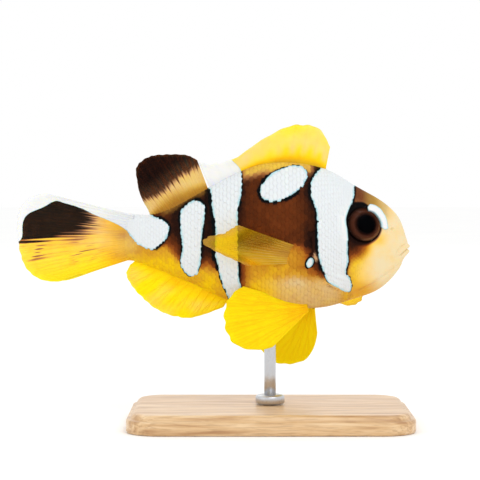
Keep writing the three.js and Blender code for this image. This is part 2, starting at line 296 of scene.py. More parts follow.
def mouth_relief_mm(along, up):
    gap, where = mm_from(MOUTH_LINE, along, up)
    slit = -0.3 * bump(gap, 0.12)
    lips = 0.2 * bump(np.abs(gap) - 0.46, 0.34) - 0.07 * bump(np.abs(gap) - 1.15, 0.25)
    throat, down = mm_from(THROAT_LINE, along, up)
    crease = -0.14 * bump(throat, 0.26) * smooth(1.0, 0.8, down)
    jaw, along_jaw = mm_from(UPPER_JAW, along, up)
    plate = 0.11 * mix(-1, 1, smooth(-0.14, 0.14, jaw)) * np.exp(-np.abs(jaw) / 0.6)
    return (slit + lips) * smooth(1.0, 0.8, where) + crease + plate * within(0, 0.2, 0.85, 1, along_jaw)


def face_relief_mm(along, up):
    angle, away = round_eye(along, up)
    beyond = away - np.interp(angle, *EYE_OPENING)
    socket = -2.0 * smooth(0.1, -0.25, beyond)
    rim = 0.16 * bump(beyond - 0.28, 0.3) - 0.09 * bump(beyond - 1.3, 0.5)
    fold = 0.42 * smooth(-0.35, 0.35, fold_mm(along, up))
    nostril = np.hypot(along - NOSTRIL[0], up - NOSTRIL[1]) * BODY_MM
    pit = -0.35 * bump(nostril, 0.24) + 0.09 * bump(nostril - 0.48, 0.18)
    gap, where = mm_from(CHEEK_EDGE, along, up)
    cheek = 0.15 * mix(1, -1, smooth(-1.2, 1.2, gap)) * bump(gap, 2.0) * within(0, 0.15, 0.8, 1, where)
    return socket + rim + fold + pit + cheek


def relief(along, up, turn):
    """How far the skin stands over the smooth body, in metres."""
    total = np.zeros(np.shape(along))
    head = np.asarray(along) < HEAD_RELIEF_END
    a, u = along[head], up[head]
    total[head] = gill_relief_mm(a, u) + mouth_relief_mm(a, u) + face_relief_mm(a, u)
    on_side = np.sin(turn) ** 2
    tail = -1.3 * smooth(STEM_SINKS, 1.0, along) * np.abs(np.sin(turn))
    fin_base = 0.85 * bump(np.hypot((along - FIN_BASE[0]) * 0.8, up - FIN_BASE[1]) * BODY_MM, 2.6) * on_side
    brow = 0.25 * bump(along - 0.07, 0.05) + 0.3 * bump(along - 0.022, 0.025)
    brow = brow * smooth(0.3, 0.9, np.cos(turn))
    throat = 0.48 * bump(along - 0.12, 0.09) * smooth(-0.4, -0.95, np.cos(turn))
    return (total + tail + fin_base + brow + throat) * MM


def skin_point(along, turn, lift=0.0):
    """A point of the sculpted and bent skin, or of a surface at a distance over it."""
    root_along = np.sqrt(along)
    base = loft(root_along, turn)
    out = loft_normal(root_along, turn)
    up = (base[..., 2] - MOUTH_Z) / BODY
    stand = relief(along, up, turn) - COAT + lift
    return bent(base + out * stand[..., None])


def up_at(along, turn):
    return (loft(np.sqrt(along), turn)[..., 2] - MOUTH_Z) / BODY


# ---------- Markings ----------
def oval(centre, length, height, tilt_deg):
    """A leaning ellipse, of half its length and height in thousandths."""
    angle = np.arange(14) * math.pi / 7
    tilt = math.radians(tilt_deg)
    x, y = length * np.cos(angle), height * np.sin(angle)
    leaning = [x * math.cos(tilt) - y * math.sin(tilt), x * math.sin(tilt) + y * math.cos(tilt)]
    return spline(np.stack(leaning, -1) + centre, True)


# Each white mark: its outline, its middle, and the way from its light edge to its dark one. For
# those two edges follow the widths in millimetres of the black line and of the dark skin beyond.
HEAD_BAND = spline([
    [160, 270], [181, 225], [188.6, 210], [193.1, 173], [205.4, 147.7], [216.1, 122.6], [221.6, 97.2],
    [216.5, 70], [214, 34], [216.1, 0], [214, -41.5], [221, -77], [205.4, -100], [200.5, -125],
    [206, -144.5], [230.8, -140], [251.8, -125.2], [278, -112], [287, -98], [306.4, -50], [317, 1],
    [319.1, 60], [321.1, 131], [331.8, 160], [339.3, 185.5], [340, 215], [331.8, 244.5], [310.5, 270],
    [270, 310], [210, 340],
], True)
MID_BAND = spline([
    [576, 205], [582, 165], [590, 125], [590, 80], [586.5, -30], [583, -108], [575.5, -142], [588, -160],
    [606, -205], [628, -149], [641.5, -115], [658.7, -46], [665.5, -5], [662, 57], [672, 125], [683, 200],
    [703, 242], [724, 294], [745, 345], [640, 345], [607, 304], [584, 280], [576, 260],
], True)
FLANK_BAND = spline([
    [739, 167], [770, 146], [786, 115], [780, 45], [777, -1], [784, -43], [773, -76], [748, -94],
    [724.5, -78], [715, -25], [710, 45], [704, 106], [700, 143], [717, 164],
], True)
TAIL_PATCH = spline([
    [884, 116.5], [845, 101], [823, 77], [831, 42], [858, 11], [885, -2], [928.5, 15.5], [955, 42],
    [977, 68], [1017, 90], [1088, 119], [1129, 139], [1187, 156], [1218, 163], [1259, 142.5],
    [1312, 118.5], [1332, 88], [1339, 30], [1390, 20], [1340, 230], [1100, 260], [930, 170],
], True)
SPOT_MIDDLE = (0.344, -0.043)
MARKS = [
    (HEAD_BAND, (0.27, 0.07), (1, 0), (0.36, 0.5), (0.4, 1.7)),
    (MID_BAND, (0.63, 0.05), (1, 0), (0.32, 0.75), (1.0, 1.2)),
    (FLANK_BAND, (0.745, 0.04), (1, 0), (0.4, 0.36), (1.0, 1.1)),
    (oval((433, 226), 89, 49, -30), (0.432, 0.225), (0.45, -0.9), (0.16, 0.5), (0.1, 0.5)),
    (TAIL_PATCH, (0.9, 0.06), (-1, 0.3), (0.0, 0.42), (0.0, 0.5)),
    (oval((344, -43), 11, 17.5, 18), SPOT_MIDDLE, (1, 0), (0.3, 0.42), (0.1, 0.3)),
]
BLACK_LOBE = spline([
    [1093, 112], [1112, 74], [1146, 53], [1198, 45], [1232, 38], [1283.5, 24], [1340, 17], [1390, 15],
    [1390, 200], [1200, 200],
], True)
DORSAL_DARK = spline([
    [705, 299], [721, 276], [762.5, 258], [797, 231], [831, 200], [866.5, 176], [902, 165], [970, 160],
    [970, 360], [720, 360],
], True)


def white_fields(along, up):
    """Signed millimetres to the nearest white mark, positive inside; the width of the black line
    round that mark; and how dark the skin beyond the line is, from 0 to 1."""
    white = fold_mm(along, up)
    angle, away = round_eye(along, up)
    rim = mix(0.18, 0.02, smooth(-0.1, 0.3, away - np.interp(angle, *WHITE_FOLD))) * smooth(-18, 0, angle)
    halo = np.zeros(np.shape(along))

    def fade_under(heights):
        floor = np.interp(along, [0.3, 0.5, 0.6, 0.72], heights)
        return smooth(floor, floor + 0.06, up)

    halo_fades = fade_under([-0.115, -0.155, -0.155, -0.115])
    line_fades = fade_under([-0.115, -0.155, -0.115, -0.075])
    bare = smooth(-0.108, -0.122, up) * within(0.206, 0.216, 0.4, 0.42, along)
    for outline, middle, way, rims, halos in MARKS:
        gap, _ = mm_from(outline, along, up)
        facing = smooth(-0.012, 0.012, (along - middle[0]) * way[0] + (up - middle[1]) * way[1])
        width = mix(*rims, facing) * mix(0.35, 1, line_fades) * (1 - bare)
        reach = mix(*halos, facing) + 1e-6
        dark = np.exp(-np.maximum(0, -gap - 0.5 * width) / reach) * smooth(0, 0.8, reach) * halo_fades
        halo = np.maximum(halo, dark)
        rim = np.where(gap > white, width, rim)
        white = np.maximum(gap, white)
    return white, rim, halo


brown_floor = curve_through(
    [0.25, 0.31, 0.345, 0.38, 0.45, 0.54, 0.62, 0.7, 0.79, 0.83, 0.88, 0.95],
    [-0.06, -0.062, -0.035, -0.005, 0.000, -0.008, -0.04, -0.03, -0.002, 0.022, 0.075, 0.18],
)


def over_brown(along, up):
    """How far over the brown's lower edge a place lies."""
    return up - brown_floor(np.clip(along, 0.25, 0.95))[..., 0]


def under_back(along, up):
    return back_at(np.clip(along, 0, 1)) - up


def painted(ground, coats):
    """A value with coats of (target, share) laid over it in turn."""
    for target, share in coats:
        ground = mix(ground, target, share)
    return ground


def crest(along, up):
    """The golden stretch of back under the spiny dorsal fin, from 0 to 1."""
    return smooth(0.052, 0.016, under_back(along, up)) * within(0.315, 0.345, 0.56, 0.6, along)


def body_fields(along, up):
    """Tone, from 0, yellow, over orange and brown to 1, black; pale, the share of cream; and olive."""
    warm_back = crest(along, up)
    soft_back = smooth(0.026, 0.0, under_back(along, up)) * within(0.685, 0.71, 0.83, 0.86, along)
    stem = smooth(0.85, 0.91, along) * smooth(-0.04, 0.01, up)
    by_pelvics = bump(along - 0.52, 0.08) * smooth(-0.085, -0.15, up)
    tone = mix(0.235, 0.75, smooth(-0.035, 0.036, over_brown(along, up)))
    tone = mix(tone, 0.16, 0.95 * warm_back) - 0.05 * bump(along - 0.44, 0.07) * smooth(-0.02, 0.1, up)
    tone = painted(tone, [
        (0.93, bump(along - 0.688, 0.03) * smooth(-0.055, 0.02, up)),
        (0.9, bump(along - 0.8, 0.028) * smooth(0.015, 0.085, up)),
        (0.9, bump(along - 0.345, 0.018) * bump(up - 0.025, 0.062)),
        (0.46, 0.85 * soft_back),
        (mix(0.27, 0.15, smooth(0.92, 0.99, along)), stem),
        (0.32, 0.8 * bump(np.hypot(along - 0.975, up - 0.05), 0.022)),
        (0.14, smooth(0.7, 0.82, along) * smooth(-0.01, -0.055, up)),
    ])
    between_bands = mix(0.11, np.maximum(tone, 0.29), smooth(-0.118, -0.05, up))
    fin_base = smooth(1.15, 0.7, np.hypot((along - 0.386) / 0.04, (up + 0.03) / 0.05))
    tone = painted(tone, [(between_bands, bump(along - 0.69, 0.03)), (0.12, by_pelvics),
                          (0.28, 0.95 * fin_base)])
    pale = 0.4 * smooth(-0.085, -0.13, up) * within(0.21, 0.265, 0.42, 0.54, along)
    # The second term is a painted highlight: a pale pearly spot low on the belly.
    pale = pale * (1 - by_pelvics) + 0.35 * bump(along - 0.395, 0.035) * bump(up + 0.108, 0.016)
    pale = np.maximum(pale, 0.22 * smooth(0.9, 0.96, along) * bump(up - 0.03, 0.05))
    pale = np.maximum(pale, 0.14 * warm_back)
    olive = np.maximum(0.15 * warm_back, 0.45 * soft_back)
    return face_fields(along, up, tone, pale, olive)


def face_fields(along, up, tone, pale, olive):
    """The same three with the face's own laid over them."""
    face = smooth(0.235, 0.205, along)
    angle, away = round_eye(along, up)
    brown = np.hypot((along - 0.2) / 0.078, (up - 0.021) / 0.075)
    forehead = smooth(0.085, 0.032, under_back(along, up)) * smooth(0.04, 0.085, along)
    forehead = forehead * smooth(0.08, 0.12, up)
    throat = smooth(-0.085, -0.135, up)
    line, where = mm_from(THROAT_LINE, along, up)
    beyond = away - np.interp(angle, *EYE_OPENING) - np.interp(angle, *DARK_SKIN)
    below_eye = bump(angle + 105, 55)
    blur = mix(1.0, 2.6, below_eye)
    dark = smooth(0.22 * blur, -0.14 * blur, beyond)
    skin = painted(0.13, [
        (0.88, smooth(1.0, 0.08, brown)),
        (mix(0.22, 0.64, smooth(0.09, 0.165, along)), forehead),
        (0.22, throat),
        # Painted shade: a deeper orange line along the throat crease.
        (0.3, 0.4 * bump(line, 0.4) * smooth(0.1, 0.5, where)),
        (mix(1.0, 0.95, below_eye), dark),
    ])
    cream = mix(0.06, 0.96, smooth(0.2, 0.1, along))
    cream = (cream - 0.75 * bump(along - 0.108, 0.028) * bump(up - 0.034, 0.024)) * smooth(0.7, 1.15, brown)
    cream = painted(cream, [
        (mix(0.5, 0.03, smooth(0.07, 0.125, along)), forehead),
        (mix(0.06, 0.85, smooth(0.16, 0.07, along)), throat),
        (0, dark),
    ])
    green = 0.62 * forehead * within(0.06, 0.085, 0.13, 0.168, along) * (1 - dark)
    return mix(tone, skin, face), mix(pale, cream, face), mix(olive, green, face)


def coat_fields(along, up):
    tone, pale, olive = body_fields(along, up)
    white, rim, halo = white_fields(along, up)
    over = over_brown(along, up)
    halo = halo * (1 - 0.9 * crest(along, up))
    before_mid = within(0.53, 0.55, 0.6, 0.61, along)
    halo = halo * np.maximum(smooth(-0.055, 0.0, over), np.maximum(before_mid, smooth(0.44, 0.42, along)))
    tone, pale, olive = mix(tone, np.maximum(tone, 0.93), halo), pale * (1 - halo), olive * (1 - halo)
    by_spot = bump(np.hypot((along - 0.326) * 1.9, up + 0.0235), 0.0165)
    by_spot = smooth(0.3, 0.95, by_spot + 0.15 * waves(along * 700, up * 500, 9))
    return {"tone": mix(tone, 0.33, by_spot), "pale": mix(pale, 0.5, by_spot), "olive": olive,
            "white": white, "rim": rim}


# ---------- Meshes ----------
MAP_MARGIN = (0.01, 0.02)
MAP_HALF = (0.48, 0.96)


def place_on_map(along, turn):
    """Where a place of the skin lies on its unwrap: the right side's half, then the left's."""
    side = np.where(np.sin(turn) < 0, 0.0, 0.5)
    around = np.abs((turn + math.pi) % TURN - math.pi) / math.pi
    place = np.stack([around, np.clip(along, 0, 1)], -1) * MAP_HALF + MAP_MARGIN
    place[..., 0] += side
    return place


def make_object(name, points, faces, fields=None, corner_uv=None, flat_faces=None):
    mesh = bpy.data.meshes.new(name)
    mesh.from_pydata(np.asarray(points, float).reshape(-1, 3).tolist(), [], faces)
    smooth_faces = np.ones(len(mesh.polygons), bool)
    if flat_faces is not None:
        smooth_faces[flat_faces] = False
    mesh.polygons.foreach_set("use_smooth", smooth_faces)
    for key, values in (fields or {}).items():
        attribute = mesh.attributes.new(key, "FLOAT", "POINT")
        attribute.data.foreach_set("value", np.ravel(values).astype(np.float32))
    if corner_uv is not None:
        layer = mesh.uv_layers.new(name="OFBake")
        layer.data.foreach_set("uv", np.asarray(corner_uv, np.float32).ravel())
    mesh.update()
    piece = bpy.data.objects.new(name, mesh)
    bpy.context.scene.collection.objects.link(piece)
    return piece


def grid_quads(numbers):
    """Quads over a table of vertex numbers, each from its corner along the row and back."""
    corners = [numbers[:-1, :-1], numbers[:-1, 1:], numbers[1:, 1:], numbers[1:, :-1]]
    return np.stack(corners, -1).reshape(-1, 4)


def ring_quads(numbers):
    """The same, with each row closed to a ring."""
    return grid_quads(np.hstack([numbers, numbers[:, :1]]))


def closed_tube(rings, sides):
    """Faces over rings of vertices one above the other, with a face at either end."""
    numbers = np.arange(rings * sides).reshape(rings, sides)
    return ring_quads(numbers).tolist() + [numbers[0, ::-1].tolist(), numbers[-1].tolist()]


def add_piece(piece, material, slot, *nodes):
    piece.data.materials.append(material)
    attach(piece, "root")
    if nodes:
        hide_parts(*nodes)


# ---------- Materials ----------
def srgb(red, green, blue):
    """A colour of 0 to 255 display values as linear RGBA."""
    values = np.array([red, green, blue]) / 255
    linear = np.where(values <= 0.04045, values / 12.92, ((values + 0.055) / 1.055) ** 2.4)
    return (*linear.tolist(), 1.0)


TONES = [
    (0.00, (252, 220, 14)), (0.12, (246, 196, 16)), (0.25, (217, 154, 38)), (0.42, (168, 94, 28)),
    (0.6, (120, 57, 22)), (0.74, (92, 42, 15)), (0.88, (44, 20, 11)), (1.00, (8, 5, 6)),
]
CREAM = srgb(230, 211, 170)
OLIVE = srgb(160, 134, 60)
OUTLINE = srgb(4, 9, 12)
WHITE = srgb(229, 230, 230)
BLUE_WHITE = srgb(176, 214, 219)
FIN_SHADE = srgb(246, 247, 249)


class NodeTree:
    """A material's nodes. Inputs are sockets to link, or plain values."""

    def __init__(self, name):
        self.material = bpy.data.materials.new(name)
        self.material.use_nodes = True
        self.tree = self.material.node_tree
        self.tree.nodes.clear()

    def add(self, kind, inputs, output=0, **settings):
        """Add a node and return one of its outputs."""
        node = self.tree.nodes.new("ShaderNode" + kind)
        for key, value in settings.items():
            setattr(node, key, value)
        for key, value in inputs.items():
            if isinstance(value, bpy.types.NodeSocket):
                self.tree.links.new(value, node.inputs[key])
            else:
                node.inputs[key].default_value = value
        return node.outputs[output]

    def math(self, operation, a, b=0.0):
        return self.add("Math", {0: a, 1: b}, operation=operation)

    def times(self, a, b):
        return self.math("MULTIPLY", a, b)

    def linear(self, value, factor, offset):
        return self.math("ADD", self.times(value, factor), offset)

    def centred(self, value, factor):
        return self.times(self.math("SUBTRACT", value, 0.5), factor)

    def smooth(self, low, high, value):
        return self.add("MapRange", {0: value, 1: low, 2: high}, interpolation_type="SMOOTHSTEP")

    def mix(self, share, a, b, blend="MIX"):
        return self.add("Mix", {0: share, 6: a, 7: b}, 2, data_type="RGBA", blend_type=blend)

    def attribute(self, name):
        return self.add("Attribute", {}, "Fac", attribute_name=name)

    def place(self, stretch):
        inputs = {"Vector": self.add("TexCoord", {}, "Object"), "Scale": stretch}
        return self.add("Mapping", inputs)

    def noise(self, size_mm, detail=2.0, stretch=(1, 1, 1)):
        """Noise with features about size_mm across."""
        inputs = {"Vector": self.place(stretch), "Scale": 1 / (size_mm * MM), "Detail": detail}
        return self.add("TexNoise", inputs, "Fac")

    def ramp(self, value, stops):
        colour = self.add("ValToRGB", {0: value})
        elements = colour.node.color_ramp.elements
        while len(elements) < len(stops):
            elements.new(0.5)
        for element, (place, shade) in zip(elements, stops):
            element.position = place
            element.color = srgb(*shade)
        return colour

    def bump(self, height, depth_mm):
        return self.add("Bump", {"Height": height, "Distance": depth_mm * MM, "Strength": 1.0})

    def principled(self, colour, roughness, normal, **others):
        inputs = {"Base Color": colour, "Roughness": roughness, "Normal": normal}
        inputs |= {key.replace("_", " "): value for key, value in others.items()}
        return self.add("BsdfPrincipled", inputs)

    def surface(self, shader):
        output = self.tree.nodes.new("ShaderNodeOutputMaterial")
        self.tree.links.new(shader, output.inputs["Surface"])
        return self.material


def fish_colour(nodes):
    """Ground colour by tone and pale, with painted shade at the scales' rims, then the dark edges, then the
    white marks.
    """
    tone = nodes.math("ADD", nodes.attribute("tone"), nodes.centred(nodes.noise(1.6, 4), 0.12))
    tone = nodes.math("ADD", tone, nodes.centred(nodes.attribute("tint"), 0.045))
    ground = nodes.mix(nodes.attribute("olive"), nodes.ramp(tone, TONES), OLIVE)
    blotch = nodes.linear(nodes.noise(2.4, 4), 0.9, 0.52)
    ground = nodes.mix(nodes.times(nodes.attribute("pale"), blotch), ground, CREAM)
    # Painted shade: the "edge" field darkens the ground by up to 3 per cent towards each scale's rim.
    shade = nodes.math("SUBTRACT", 1.0, nodes.times(nodes.attribute("edge"), 0.03))
    scale_rim_shade = nodes.add("CombineColor", {0: shade, 1: shade, 2: shade})
    ground = nodes.mix(1.0, ground, scale_rim_shade, "MULTIPLY")
    white = nodes.math("ADD", nodes.attribute("white"), nodes.centred(nodes.noise(0.9, 2), 0.35))
    rim = nodes.math("MAXIMUM", nodes.attribute("rim"), 1e-3)
    outside = nodes.math("DIVIDE", nodes.times(white, -1.0), rim)
    edged = nodes.mix(nodes.smooth(1.25, 0.6, outside), ground, OUTLINE)
    chalk = nodes.mix(nodes.smooth(0, 0.42, white), BLUE_WHITE, WHITE)
    return nodes.mix(nodes.smooth(-0.06, 0.06, white), edged, chalk)


def skin_material():
    nodes = NodeTree("fish_skin")
    grain = nodes.noise(0.22, 3)
    return nodes.surface(nodes.principled(
        fish_colour(nodes), nodes.linear(grain, 0.18, 0.34), nodes.bump(grain, 0.02),
        Specular_IOR_Level=0.03, Subsurface_Weight=0.1, Subsurface_Scale=0.5 * MM,
    ))


def fin_material(name, see_through=False):
    """Fin skin. Where it is see-through, "cover" is each face's share of light that it stops."""
    nodes = NodeTree(name)
    colour = nodes.mix(1.0, fish_colour(nodes), FIN_SHADE, "MULTIPLY")
    joints = nodes.math("SINE", nodes.times(nodes.attribute("out_mm"), 7.0))
    height = nodes.linear(nodes.times(nodes.attribute("ridge"), joints), 0.0 if see_through else 0.3,
                          nodes.noise(0.3, 3))
    solid = nodes.principled(
        colour, nodes.linear(nodes.noise(0.5, 2), 0.2, 0.38), nodes.bump(height, 0.02),
        Specular_IOR_Level=0.03, Subsurface_Weight=0.0 if see_through else 0.7,
        Subsurface_Radius=(1.0, 0.85, 0.5), Subsurface_Scale=0.4 * MM,
    )
    if not see_through:
        return nodes.surface(solid)
    clear = nodes.add("BsdfTransparent", {"Color": srgb(255, 233, 104)})
    share = nodes.math("MINIMUM", nodes.attribute("cover"), 1.0)
    return nodes.surface(nodes.add("MixShader", {0: share, 1: clear, 2: solid}))


def eye_material():
    """Reads "ring", 0 at the pupil's middle and 1 at the edge of the eye's opening, and "glow",
    painted light, the share of light brown on the iris's lower front."""
    nodes = NodeTree("eye_iris")
    fibre = nodes.noise(0.35, 4)
    colour = nodes.ramp(nodes.math("ADD", nodes.attribute("ring"), nodes.centred(fibre, 0.1)), [
        (0.49, (2, 2, 3)), (0.53, (10, 5, 5)), (0.6, (36, 16, 10)), (0.74, (76, 40, 26)),
        (0.82, (62, 31, 20)), (0.92, (40, 20, 13)), (0.985, (12, 6, 5)),
    ])
    # Painted light: glow lightens the iris's lower front to light brown.
    colour = nodes.mix(nodes.attribute("glow"), colour, srgb(124, 82, 51))
    return nodes.surface(nodes.principled(colour, nodes.linear(fibre, 0.2, 0.45),
                                          nodes.bump(fibre, 0.006), Specular_IOR_Level=0.0))


def cornea_material():
    """A thin clear shell: mostly see-through, with a gloss that grows towards its rim."""
    nodes = NodeTree("eye_cornea")
    roughness = nodes.linear(nodes.noise(2.0, 2), 0.05, 0.03)
    gloss = nodes.add("BsdfGlossy", {"Color": (1, 1, 1, 1), "Roughness": roughness})
    clear = nodes.add("BsdfTransparent", {"Color": (0.97, 0.97, 0.97, 1)})
    facing = nodes.add("Fresnel", {"IOR": 1.09})
    return nodes.surface(nodes.add("MixShader", {0: facing, 1: clear, 2: gloss}))


def maple_material():
    nodes = NodeTree("maple")
    inputs = {"Vector": nodes.place((18, 190, 320)), "Scale": 3.0, "Detail": 6.0, "Distortion": 0.6}
    grain = nodes.add("TexNoise", inputs, "Fac")
    pores = nodes.noise(0.35, 3, (0.08, 1, 1))
    colour = nodes.ramp(grain, [(0.3, (182, 138, 92)), (0.48, (214, 176, 128)), (0.7, (232, 201, 158))])
    colour = nodes.mix(nodes.times(nodes.smooth(0.52, 0.35, pores), 0.35), colour, srgb(150, 104, 62))
    return nodes.surface(nodes.principled(colour, nodes.linear(pores, 0.25, 0.28), nodes.bump(pores, 0.03),
                                          Coat_Weight=0.25, Coat_Roughness=0.18))


def steel_material():
    nodes = NodeTree("brushed_steel")
    lines = nodes.noise(0.25, 4, (1, 1, 12))
    colour = nodes.ramp(lines, [(0.3, (176, 178, 182)), (0.7, (214, 215, 218))])
    return nodes.surface(nodes.principled(colour, nodes.linear(lines, 0.22, 0.18),
                                          nodes.bump(lines, 0.012), Metallic=1.0))


# ---------- Skin ----------
HEAD_RINGS = 180
TRUNK_RINGS = 58
STEM_RINGS = 22
SKIN_SIDES = 380
FLESH = ["head", "lower_jaw", "gill_cover_right", "gill_cover_left", "trunk", "tail_stem"]


def make_skin(material):
    head = np.linspace(0.035, 0.6, HEAD_RINGS) ** 2
    trunk = np.linspace(0.36, STEM_SINKS, TRUNK_RINGS + 1)[1:]
    stem = np.linspace(STEM_SINKS, 1.0, STEM_RINGS + 1)[1:]
    rings = np.concatenate([head, trunk, stem])
    turns = np.arange(SKIN_SIDES) * TURN / SKIN_SIDES
    along, turn = grid(rings, turns)
    points = skin_point(along, turn).reshape(-1, 3)
    up = up_at(along, turn)
    snout = bent(np.array([[SNOUT_X - COAT - 0.2 * MM, 0, MOUTH_Z]]))
    stub = points[-SKIN_SIDES:].mean(0, keepdims=True)
    points = np.vstack([points, snout, stub])
    fields = coat_fields(along, up) | {"tint": np.full(along.shape, 0.5), "edge": np.zeros(along.shape)}
    fields = {key: np.append(values, [values[0, 0], values[-1, 0]]) for key, values in fields.items()}

    numbers = np.arange(along.size).reshape(along.shape)
    front = np.stack([0 * numbers[0] + len(points) - 2, np.roll(numbers[0], -1), numbers[0]], -1)
    rear = np.stack([0 * numbers[0] + len(points) - 1, numbers[-1], np.roll(numbers[-1], -1)], -1)
    faces = ring_quads(numbers).tolist() + front.tolist() + rear.tolist()

    step = TURN / SKIN_SIDES
    middle = turns + 0.5 * step
    low, high = rings[:-1, None], rings[1:, None]
    uv = []
    for corners in (((low, -1), (low, 1), (high, 1), (high, -1)),
                    ((0.0, 0), (rings[0], 1), (rings[0], -1)), ((1.0, 0), (rings[-1], -1), (rings[-1], 1))):
        places = [map_corner(here, middle, way * step / 2) for here, way in corners]
        uv.append(np.stack(places, -2).reshape(-1, 2))
    piece = make_object("skin", points, faces, fields, np.vstack(uv))
    add_piece(piece, material, "skin", *FLESH)


def map_corner(along, middle, offset):
    """A face corner's place on the map, kept on the half where the face's middle is."""
    along, middle = np.broadcast_arrays(along, middle)
    place = place_on_map(along, middle)
    place[..., 0] += np.where(middle < math.pi, 1, -1) * offset * MAP_HALF[0] / math.pi
    return place


# ---------- Scales ----------
COLUMN_PITCH = 0.76 * MM
ROW_PITCH = 1.3 * MM
PLATE_LIFT = 0.024 * MM
PLATE_THICKNESS = 0.016 * MM
PLATE_SUNK = 0.006 * MM
PLATE_REACH = 1.12
PLATE_HEART = 0.62
OWN_MARKS = 0.65
PLATE_HALF_WIDTH = 0.62
PLATE_JITTER = 0.03
PLATE_SEEDS = {-1: 11, 1: 7}
ROWS_EACH_WAY = 40
SIDE_EDGE = 0.02
PLATE_ON_MAP = 0.0015
FIRST_COLUMN = 0.07
FRONT_SCALES_END = 0.42
LAST_PLACE = 0.999
EYE_CLEAR_MM = 5.1
SPOT_CLEAR_MM = 1.5
GILL_LIFT = 0.035 * MM
size_curve = curve_through([0.06, 0.2, 0.36, 0.7, 1.0], [0.42, 0.6, 1.0, 0.95, 0.62])
ARC_STEP = 0.1 * MM
ARC_REACH = 26 * MM


def plate_size(along):
    return size_curve(np.clip(along, 0.06, 1))[..., 0]


def arc_table():
    """For places along, the turn at each distance round the skin from the middle of a side."""
    along = np.linspace(0, 1, 301)
    turn = np.radians(np.linspace(-40, 220, 521))
    grid_along, grid_turn = grid(along, turn)
    points = loft(np.sqrt(grid_along), grid_turn)
    steps = np.linalg.norm(np.diff(points, axis=1), axis=-1)
    length = np.concatenate([np.zeros((len(along), 1)), np.cumsum(steps, 1)], 1)
    middle = np.argmin(np.abs(turn - math.pi / 2))
    below = length - length[:, middle:middle + 1]
    places = np.arange(-ARC_REACH, ARC_REACH + ARC_STEP / 2, ARC_STEP)
    return np.array([np.interp(-places, row, turn) for row in below])


ARC_TURNS = arc_table()


def turn_at(along, arc):
    """The turn on the left side, arc metres over its middle, by the table."""
    rows, columns = ARC_TURNS.shape
    row = np.clip(along, 0, 1) * (rows - 1)
    column = np.clip((arc + ARC_REACH) / ARC_STEP, 0, columns - 1)
    r, c = np.minimum(row.astype(int), rows - 2), np.minimum(column.astype(int), columns - 2)
    front, rear = (mix(ARC_TURNS[k, c], ARC_TURNS[k, c + 1], column - c) for k in (r, r + 1))
    return mix(front, rear, row - r)


def column_places():
    places = [FIRST_COLUMN]
    while places[-1] < 1.0:
        places.append(places[-1] + COLUMN_PITCH * float(plate_size(places[-1])) / BODY)
    return np.array(places)


COLUMNS = column_places()


def along_at(column):
    """The place of a column number, which may be a fraction."""
    ahead = FIRST_COLUMN + (COLUMNS[1] - COLUMNS[0]) * np.minimum(column, 0)
    return np.where(column < 0, ahead, np.interp(column, np.arange(len(COLUMNS)), COLUMNS))


def row_height(along):
    return ROW_PITCH * plate_size(along)


def scaled_from(up):
    """How far behind the snout the scales begin."""
    return 0.112 + 0.55 * np.maximum(0, -up - 0.02)


def has_plate(along, up, reach_along, reach_up):
    """Whether a scale grows here: not on the snout, lips, eye or chin, nor over the gill's edge."""
    eye = np.hypot(along - EYE_ALONG, up - EYE_UP) * BODY_MM
    face = along > scaled_from(up) + 0.012 * waves(along * 60, up * 60, 3)
    spot = np.hypot(along - SPOT_MIDDLE[0], up - SPOT_MIDDLE[1]) * BODY_MM
    here, where = mm_from(GILL_EDGE, along, up)
    there, _ = mm_from(GILL_EDGE, reach_along, reach_up)
    near = (where > 0.08) & (where < 0.98)
    clear_of_gill = ~(near & (((here < 0) & (there > -0.15)) | ((here >= 0) & (here < 0.35))))
    return (eye > EYE_CLEAR_MM) & face & (spot > SPOT_CLEAR_MM) & clear_of_gill


def side_view_of(column, row):
    """Along and up of a place given by its column and row."""
    along = along_at(column)
    return along, up_at(np.clip(along, 0, 1), turn_at(along, row * row_height(along)))


def plate_centres(side):
    """The scales of one side: column and row numbers, one row of numbers for each scale."""
    rng = np.random.default_rng(PLATE_SEEDS[side])
    found = []
    for column, place in enumerate(COLUMNS[:-1]):
        height = float(row_height(place))
        rows = np.arange(-ROWS_EACH_WAY, ROWS_EACH_WAY + 1) + (0.5 if column % 2 else 0.0)
        turn = turn_at(np.full(rows.shape, place), rows * height)
        for row in rows[(turn > SIDE_EDGE) & (turn < math.pi - SIDE_EDGE)]:
            found.append((column, row))
    centres = np.array(found)
    centres = centres + rng.normal(0, PLATE_JITTER, centres.shape)
    middle, tip = (side_view_of(centres[:, 0] + out, centres[:, 1]) for out in (0, PLATE_REACH))
    return centres[has_plate(*middle, *tip)]


# One scale: rows from its root to its tip, and columns across it.
PLATE_ROWS = np.array([-1.0, -0.35, 0.2, 0.62, 1.0])
PLATE_ACROSS = np.linspace(-1, 1, 7)


